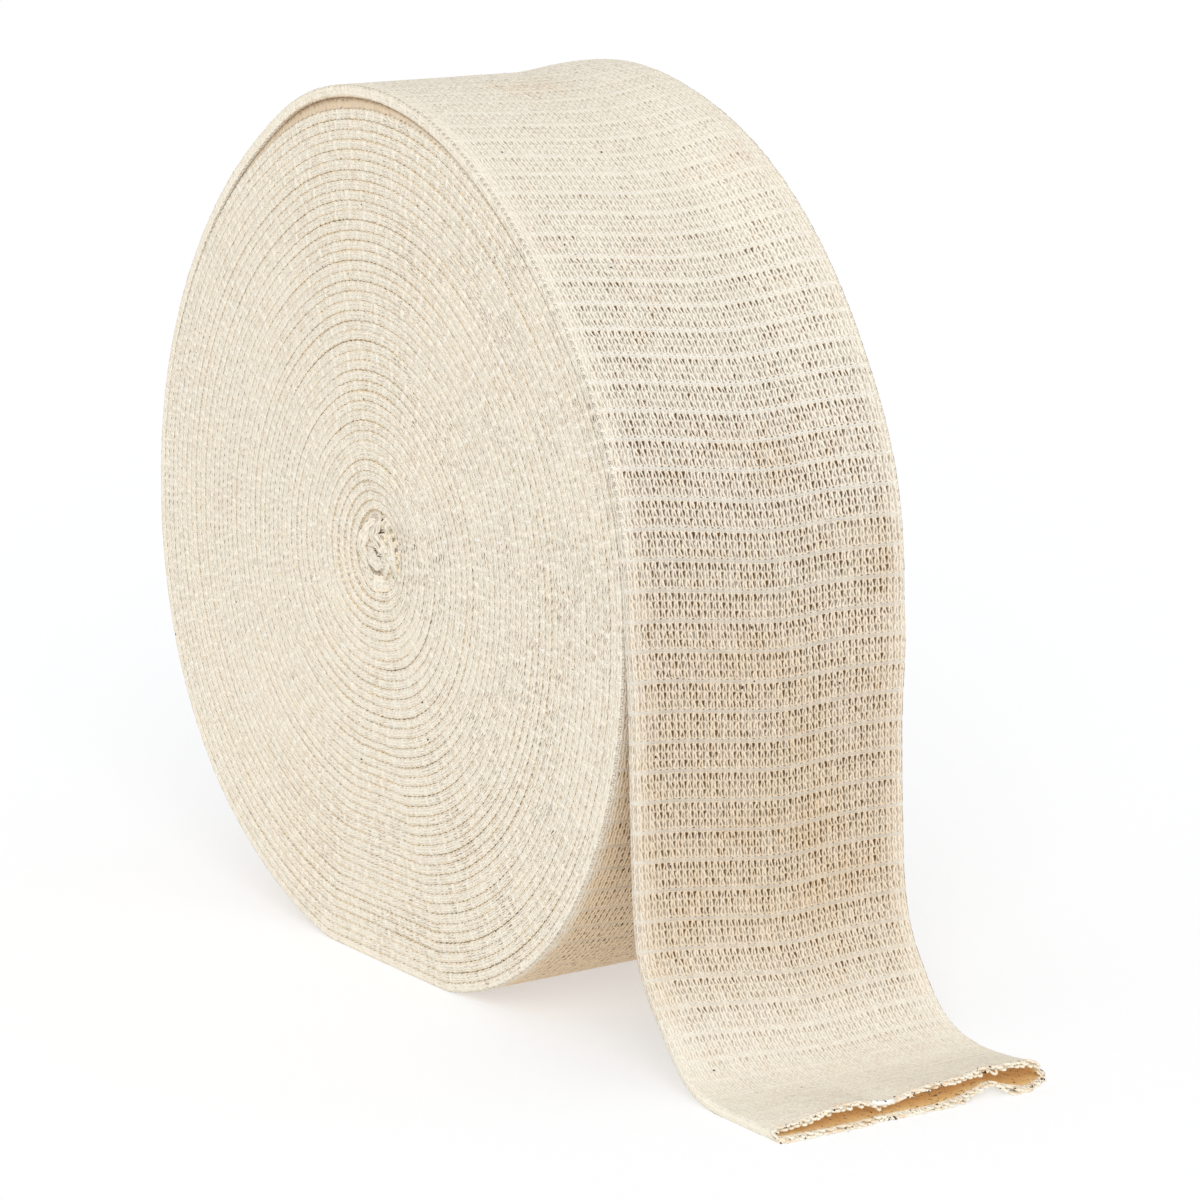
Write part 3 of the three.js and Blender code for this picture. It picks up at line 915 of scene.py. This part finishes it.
def slit_depth(knit, patchy):
    """How dark the slits, the specks on the faces and the holes are painted as shade, from 0 to 1."""
    uneven = scaled(noise(knit["cloth"], 0.4), 1.2, 0.45)
    on_flat = times(scaled(fade(knit["to_fold"], 0.3, 6.0), 0.7, 0.3), uneven, SLIT_STRENGTH)
    speck = times(patchy, calc("POWER", knit["dice"], 2.0), scaled(knit["front"], 1.5, 0.4))
    on_face = scaled(speck, SPECK_MOST, SPECK_LEAST)
    more = times(knit["pressed"], calc("SUBTRACT", on_face, on_flat))
    depth = times(calc("ADD", on_flat, more), knit["open"], knit["slit"])
    return scaled(times(knit["hole"], knit["grooved"], speck), HOLE_DARK, depth, clamp=True)


def fleck(knit):
    """1 on the few dark flecks of raw cotton."""
    rare = calc("LESS_THAN", knit["dice"], FLECK_CHANCE)
    beside = calc("LESS_THAN", distance(knit["across"], FLECK_PLACE), FLECK_HALF_WIDTH)
    level = calc("LESS_THAN", distance(knit["up"], 0.5), FLECK_HALF_HEIGHT)
    return times(rare, beside, level)


# %% Knitted cotton
YARN_BUMP = 0.14


def knitted_cotton(name):
    """Material of the knitted cloth."""
    material, shader = new_material(name, 0.92, 0.1)
    tree = material.node_tree
    knit = knit_pattern(tree)
    spot = tree.nodes.new("ShaderNodeTexCoord").outputs["Object"]
    fibres = noise(spot, GRAIN["fibres"], 1.0)
    pebbles = noise(spot, GRAIN["pebbles"])
    patchy = fade(noise(spot, GRAIN["patches"]), 0.3, 0.65)
    colour = with_elastic(knit, spot, cotton_colour_and_painted_light(knit, spot, fibres, pebbles, patchy))
    colour = blend_colours(slit_depth(knit, patchy), colour, SLIT_BROWN)
    plug(shader.inputs["Base Color"], blend_colours(fleck(knit), colour, FLECK_BROWN))
    raised = calc("MAXIMUM", knit["round"], times(knit["cord"], 0.6))
    raised = times(raised, scaled(knit["open"], 0.6, 0.4))
    pebbled = times(calc("SUBTRACT", pebbles, knit["hole"]), knit["pressed"])
    relief = tree.nodes.new("ShaderNodeBump")
    relief.inputs["Distance"].default_value = YARN_BUMP * MM
    plug(relief.inputs["Height"], scaled(fibres, 0.5, scaled(pebbled, 2.5, raised)))
    plug(shader.inputs["Normal"], relief.outputs["Normal"])
    print(name, "has", len(tree.nodes), "nodes")
    return material


cotton = knitted_cotton("knitted_cotton")


# %% Plain yarn
def plain_yarn(name, colour, shade):
    """Material of loose yarn, and its shader."""
    material, shader = new_material(name, 0.9, 0.1)
    spot = material.node_tree.nodes.new("ShaderNodeTexCoord").outputs["Object"]
    colour = blend_colours(fade(noise(spot, 900.0), 0.4, 0.75), colour, shade)
    speck = fade(noise(spot, 1400.0), 0.61, 0.68)
    plug(shader.inputs["Base Color"], blend_colours(speck, colour, FLECK_BROWN))
    return material, shader


# %% [markdown]
# ## Mesh of a stretch
# Each stretch is a closed skin: rows of points round the tube, joined by quads and closed at both
# ends. Its texture map holds the wale and the course of each corner, so that one knit pattern runs
# over all pieces. Six more values per point go to the finish: how open the cloth is there and how much
# painted warm shade it gets, whether its neighbours press on it, how deep the grooves between the folds
# are, how much painted shade it gets where it is tucked away in the gap, and how far it is to the
# front of the roll, where specks show. The two end caps are shaded flat, so that they don't bend the
# light on the last rows of stitches.

# %% Mesh of a stretch
def skin_mesh(name, points, course, wale, pressed, tucked):
    """Closed mesh object from rows of points round the tube."""
    rows, columns = points.shape[:2]
    row = np.arange(rows - 1)[:, None]
    column = np.arange(columns)[None, :]
    right = (column + 1) % columns
    below = row * columns
    quads = np.stack([below + column, below + right, below + columns + right, below + columns + column], -1)
    first_ring = list(range(columns - 1, -1, -1))
    last_ring = [(rows - 1) * columns + k for k in range(columns)]
    faces = quads.reshape(-1, 4).tolist() + [first_ring, last_ring]
    mesh = bpy.data.meshes.new(name)
    mesh.from_pydata((points.reshape(-1, 3) * MM).tolist(), [], faces)
    wrapped = wale[:, right[0]] + WALES * (right[0] == 0)
    corner_wales = np.stack([wale[:-1], wrapped[:-1], wrapped[1:], wale[1:]], -1)
    corner_courses = np.stack([course[:-1], course[:-1], course[1:], course[1:]], -1)
    quad_map = np.stack([corner_wales, corner_courses], -1).reshape(-1, 2)
    flat_map = np.stack([wale, course], -1).reshape(-1, 2)
    cloth_map = np.concatenate([quad_map, flat_map[first_ring], flat_map[last_ring]])
    mesh.uv_layers.new(name="cloth").data.foreach_set("uv", cloth_map.astype(np.float32).ravel())
    length = length_of(course)
    shares = {
        "open": along(STRETCH, "open", length),
        "warm": along(STRETCH, "warm", length) * (1 - pressed),
        "pressed": pressed + 0 * length,
        "grooved": (0.6 + 0.4 * loose_share(turn_at(length))) * (pressed > 0.99),
        "tucked": tucked + 0 * length,
        "front": 0.5 + 0.5 * np.cos(np.radians(turn_at(length))),
    }
    for kind, values in shares.items():
        share = mesh.attributes.new(kind, "FLOAT", "POINT")
        share.data.foreach_set("value", values.astype(np.float32).ravel())
    mesh.materials.append(cotton)
    mesh.shade_smooth()
    for cap in mesh.polygons[-2:]:
        cap.use_smooth = False
    triangles = 2 * (rows - 1) * columns + 2 * (columns - 2)
    print(f"{name}: {rows} rows of {columns} columns, {triangles} triangles")
    return add_object(name, mesh)


# %% [markdown]
# ## Inner turns
# About forty turns show only their folded edges, on the two faces of the roll. Each turn is modelled
# as the real closed loop, but only its folds get stitches: five columns each, two rows to a course.
# They are cut in three pieces to stay light. The two turns just under the outermost have more columns
# across, since the top one shows in the gap under the lifted end. Where the folds are loose their
# stitches stand up like a row of beads, and where they are pressed they lie in a checked pattern.

# %% Inner turns
EDGE_COLUMNS = (-1.12, -0.8, 0, 0.8, 1.12)
EDGE_ROWS = (0.25, 0.75)
CORE_ROWS = (0.12, 0.37, 0.62, 0.87)
UNDER_COLUMNS = (1.55, 2.2, 3.2, 6, 12, 20, 28, 36, 42)
GAP_SHADE = 0.75
EDGE_BUMP = 0.08
EDGE_UNEVEN = 0.04
OUTER_TURN_END = 368
UNDER_TURNS_END = OUTER_TURN_END + 720
TURNS_SPLIT = 360 * 15

edge_dice = np.random.default_rng(23)


def edge_grid(courses, wales):
    """Course, wale and height of every vertex of a stretch with stitches on its folds only."""
    course = np.repeat(courses[:, None], len(wales), 1)
    wale = np.repeat(np.array(wales, float)[None, :], len(courses), 0)
    rise = course - np.floor(course)
    cord = np.mod(np.floor(course), REPEAT_COURSES) == 0
    beads = np.where(np.round(rise) == 0, 1, -1)
    checker = beads * np.where(np.arange(len(wales)) % 2 == 0, 1, -1)[None, :]
    loose = loose_share(turn_at(length_of(course)))
    height = EDGE_BUMP * (checker + (beads - checker) * loose)
    height = np.where(cord, CORD_HEIGHT, height)
    return course, wale, height + edge_dice.normal(0, EDGE_UNEVEN, height.shape)


def both_folds(inner=()):
    """Wales of the columns at the near and the far fold, with any further ones between."""
    near = np.array(EDGE_COLUMNS)
    middle = np.array(inner, float)
    return np.concatenate([near, middle, WALES / 2 + near, WALES - middle[::-1]])


def turns(name, courses, wales):
    """A stretch of wound cloth with stitches on its folds only."""
    course, wale, height = edge_grid(courses, wales)
    y, out, *_ = tube_section(wale)
    in_gap = smoothstep(puff_under_gap(turn_at(cloth_length(course, wale)), y, out), 0.1, 0.8)
    return skin_mesh(name, lay_wound(course, wale, height), course, wale, 1 - in_gap, GAP_SHADE * in_gap)


core_courses = course_rows(course_at(SPIRAL_END), float(course_of(CLOTH_LENGTH)), CORE_ROWS)[1:]
inner_courses = course_rows(course_at(TURNS_SPLIT), course_at(SPIRAL_END), EDGE_ROWS)
middle_courses = course_rows(course_at(UNDER_TURNS_END), course_at(TURNS_SPLIT), EDGE_ROWS)
under_courses = course_rows(course_at(OUTER_TURN_END), course_at(UNDER_TURNS_END), EDGE_ROWS)
under_turns = turns("under_turns", under_courses, both_folds(UNDER_COLUMNS))
middle_turns = turns("middle_turns", middle_courses, both_folds())
inner_turns = turns("inner_turns", np.append(inner_courses, core_courses), both_folds())

# %% [markdown]
# ## Outer turn and last half turn
# These show their whole width, so the outer ply is knitted finely from fold to fold. The inner ply is
# hidden or in shade and gets a column only here and there, with the same pattern in its finish.

# %% Outer turn and last half turn
INNER_PLY_WALES = (49, 52, 57, 62, 67, 72, 77, 82, 86, 89)
FINE_FROM = -2
FINE_TO = 48
LAST_TURN_CUT = 108
FACE_FADE = 20
FACE_WALES = 3.5


def fine_stretch(first_course, last_course):
    """Course, wale and height grids with a finely knitted outer ply and a plain inner one."""
    courses = course_rows(first_course, last_course)
    course, wale, height = stitch_grid(courses, fine_columns(FINE_FROM, FINE_TO))
    plain_course, plain_wale, plain_height = edge_grid(courses, INNER_PLY_WALES)
    return (
        np.concatenate([course, plain_course], 1),
        np.concatenate([wale, plain_wale], 1),
        np.concatenate([height, 0 * plain_height], 1),
    )


def face_share(course, wale):
    """Share of the faces' finish: 1 on folds that lie on the roll, 0 on the band and the free end."""
    on_roll = smoothstep(turn_at(cloth_length(course, wale)), 0, FACE_FADE)
    return on_roll * (1 - smoothstep(wales_to_fold(wale), 0.5, FACE_WALES))


def shade_over_gap(course, wale):
    """Share of the gap's shade on the inner ply of the lifted last turn."""
    puff = last_turn_puff(turn_at(cloth_length(course, wale)), tube_section(wale)[1])
    return GAP_SHADE * smoothstep(puff, 0.2, 0.3)


def fine_turn(name, first_turn, last_turn):
    """A finely knitted stretch of the roll's outside."""
    course, wale, height = fine_stretch(course_at(first_turn), course_at(last_turn))
    on_face = face_share(course, wale)
    in_shade = shade_over_gap(course, wale)
    return skin_mesh(name, lay_wound(course, wale, height), course, wale, on_face, in_shade)


outer_turn = fine_turn("outer_turn", LAST_TURN_START, OUTER_TURN_END)
last_turn_back = fine_turn("last_turn_back", LAST_TURN_CUT, LAST_TURN_START)

# %% [markdown]
# ## Free end
# The free end runs from behind the top of the roll, down its front and out to the cut mouth. It is one
# skin: the rows first go along the outside of the tube to the mouth, then turn in over the cut edge
# and back along the inside, so that the tube is really open. The light that shines through the thin
# cloth makes its inside look orange, which a weak glow imitates at little cost. Laid in that order its
# faces point inward, unlike those of the other pieces. That is a known fault.

# %% Inside of the mouth
INSIDE_ORANGE = (0.72, 0.50, 0.24, 1)
INSIDE_SHADE = (0.60, 0.38, 0.15, 1)
THROUGH_LIGHT = 0.17

lit_inside, inside_shader = plain_yarn("lit_inside", INSIDE_ORANGE, INSIDE_SHADE)
inside_shader.inputs["Emission Color"].default_value = INSIDE_ORANGE
inside_shader.inputs["Emission Strength"].default_value = THROUGH_LIGHT

# %% Free end
PLY = 0.7
POCKET_DEPTHS = (0.05, 0.8, 2, 3.6, 5.6, 8, 11, 13.5, 17, 21)

mouth_course = float(course_of(0.0))
course, wale, height = fine_stretch(mouth_course, course_at(LAST_TURN_CUT))
on_roll = cloth_length(course, wale) > FREE_LENGTH
wound_points = lay_wound(np.maximum(course, course_of(FREE_LENGTH)), wale, height)
free_points = lay_free(course, wale, height)
outside = np.where(on_roll[..., None], wound_points, free_points)
pocket_course = np.repeat(course_of(np.array(POCKET_DEPTHS))[:, None], wale.shape[1], 1)
pocket_wale = np.repeat(wale[:1], len(POCKET_DEPTHS), 0)
pocket = lay_free(pocket_course, pocket_wale, 0.0, inside=PLY)
free_course = np.concatenate([course[::-1], pocket_course])
free_wale = np.concatenate([wale[::-1], pocket_wale])
free_points = np.concatenate([outside[::-1], pocket])
on_face = face_share(free_course, free_wale)
in_shade = shade_over_gap(free_course, free_wale)
free_end = skin_mesh("free_end", free_points, free_course, free_wale, on_face, in_shade)
free_end.data.materials.append(lit_inside)
for polygon in free_end.data.polygons:
    if min(polygon.vertices) >= course.size:
        polygon.material_index = 1

# %% [markdown]
# ## Cut edge
# Where the tube was cut across, the last stitches open into small loops and one end of elastic sticks
# out. Each loop is a short piece of yarn, swept along a half ring that starts and ends inside the
# cloth's edge. A row of plain beads would be lighter, but loops catch the light as yarn does.

# %% Sweep a yarn
YARN_SIDES = 6


def swept_yarn(line, radius):
    """Vertices and faces of a yarn swept along a line of points."""
    heading = np.gradient(line, axis=0)
    heading /= np.linalg.norm(heading, axis=1, keepdims=True)
    side = np.cross(heading, (0.3, 0.2, 1.0))
    side /= np.linalg.norm(side, axis=1, keepdims=True)
    other = np.cross(heading, side)
    angle = np.arange(YARN_SIDES) * 2 * math.pi / YARN_SIDES
    around = side[:, None] * np.cos(angle)[None, :, None] + other[:, None] * np.sin(angle)[None, :, None]
    points = (line[:, None] + radius * around).reshape(-1, 3)
    faces = []
    for row in range(len(line) - 1):
        for k in range(YARN_SIDES):
            right = (k + 1) % YARN_SIDES
            low = row * YARN_SIDES
            faces.append((low + k, low + right, low + YARN_SIDES + right, low + YARN_SIDES + k))
    faces.append(tuple(range(YARN_SIDES - 1, -1, -1)))
    faces.append(tuple(range(len(points) - YARN_SIDES, len(points))))
    return points, faces


# %% Yarn finishes
ELASTIC_WHITE = (0.9, 0.89, 0.86, 1)
ELASTIC_SHADE = (0.84, 0.82, 0.77, 1)

loop_yarn, _ = plain_yarn("loop_yarn", COTTON, COTTON_WARM)
elastic_yarn, _ = plain_yarn("elastic_yarn", ELASTIC_WHITE, ELASTIC_SHADE)

# %% Loops of the cut edge
LOOP_POINTS = 9
LOOP_RADIUS = 0.23
LOOP_HALF_WIDTH = 0.36
LOOP_REACH = 0.75
LOWER_LOOPS = 1.5
LOOP_START = 0.4
LOOP_LEVELS = (0.12, 0.58)
ELASTIC_END = (16.2, 19.8)
ELASTIC_RADIUS = 0.42

loop_dice = np.random.default_rng(31)
yarn_points, yarn_faces, yarn_finish = [], [], []


def add_yarn(line, radius, finish):
    """Adds a swept yarn to the lists. It doesn't sink into the surface."""
    line[:, 2] = np.maximum(line[:, 2], radius)
    points, faces = swept_yarn(line, radius)
    start = sum(len(done) for done in yarn_points)
    yarn_points.append(points)
    yarn_faces.extend(tuple(start + corner for corner in face) for face in faces)
    yarn_finish.extend([finish] * len(faces))


arc = np.linspace(0, math.pi, LOOP_POINTS)
for level_number, level in enumerate(LOOP_LEVELS):
    for number in range(WALES):
        middle = number + level_number / 2 + loop_dice.normal(0, 0.1)
        reach = LOOP_REACH * loop_dice.uniform(0.6, 1.15) * (LOWER_LOOPS if number > WALES / 2 else 1)
        lean = loop_dice.normal(0, 0.2) * np.sin(arc)
        loop_wale = middle - LOOP_HALF_WIDTH * np.cos(arc) + 0.3 * lean
        edge = lay_free(np.full(LOOP_POINTS, mouth_course), loop_wale, lean, inside=level)
        forward = (LOOP_START + reach) * np.sin(arc) - LOOP_START
        add_yarn(edge + forward[:, None] * np.array([1.0, 0, 0]), LOOP_RADIUS, 0)
elastic_wale = np.linspace(*ELASTIC_END, LOOP_POINTS)
elastic_line = lay_free(np.full(LOOP_POINTS, mouth_course), elastic_wale, 0.1, inside=PLY / 2)
add_yarn(elastic_line + np.array([0.5, 0, 0.15]), ELASTIC_RADIUS, 1)

yarn_mesh = bpy.data.meshes.new("mouth_yarn")
yarn_mesh.from_pydata((np.concatenate(yarn_points) * MM).tolist(), [], yarn_faces)
yarn_mesh.materials.append(loop_yarn)
yarn_mesh.materials.append(elastic_yarn)
yarn_mesh.polygons.foreach_set("material_index", yarn_finish)
yarn_mesh.shade_smooth()
mouth_yarn = add_object("mouth_yarn", yarn_mesh)
print("mouth_yarn:", len(yarn_faces), "faces")

# %% [markdown]
# ## What each piece is
# The pieces ride on the root body, and each hides the solid that it stands for. The tube lies flat,
# so a stretch is as wide as the pressed tube and as long as its courses.

WOUND_PIECES = (under_turns, middle_turns, inner_turns, outer_turn)
END_PIECES = (last_turn_back, free_end)


def declare(piece, node):
    """Rides a stretch of cloth on the root, hides the solid it replaces and reads its cloth map."""
    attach(piece, "root")
    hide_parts(node)
    map_data = np.zeros(len(piece.data.loops) * 2, np.float32)
    piece.data.uv_layers["cloth"].data.foreach_get("uv", map_data)


for piece in WOUND_PIECES:
    declare(piece, "wound_roll")
for piece in END_PIECES:
    declare(piece, "loose_end")
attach(mouth_yarn, "root")
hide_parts("loose_end")
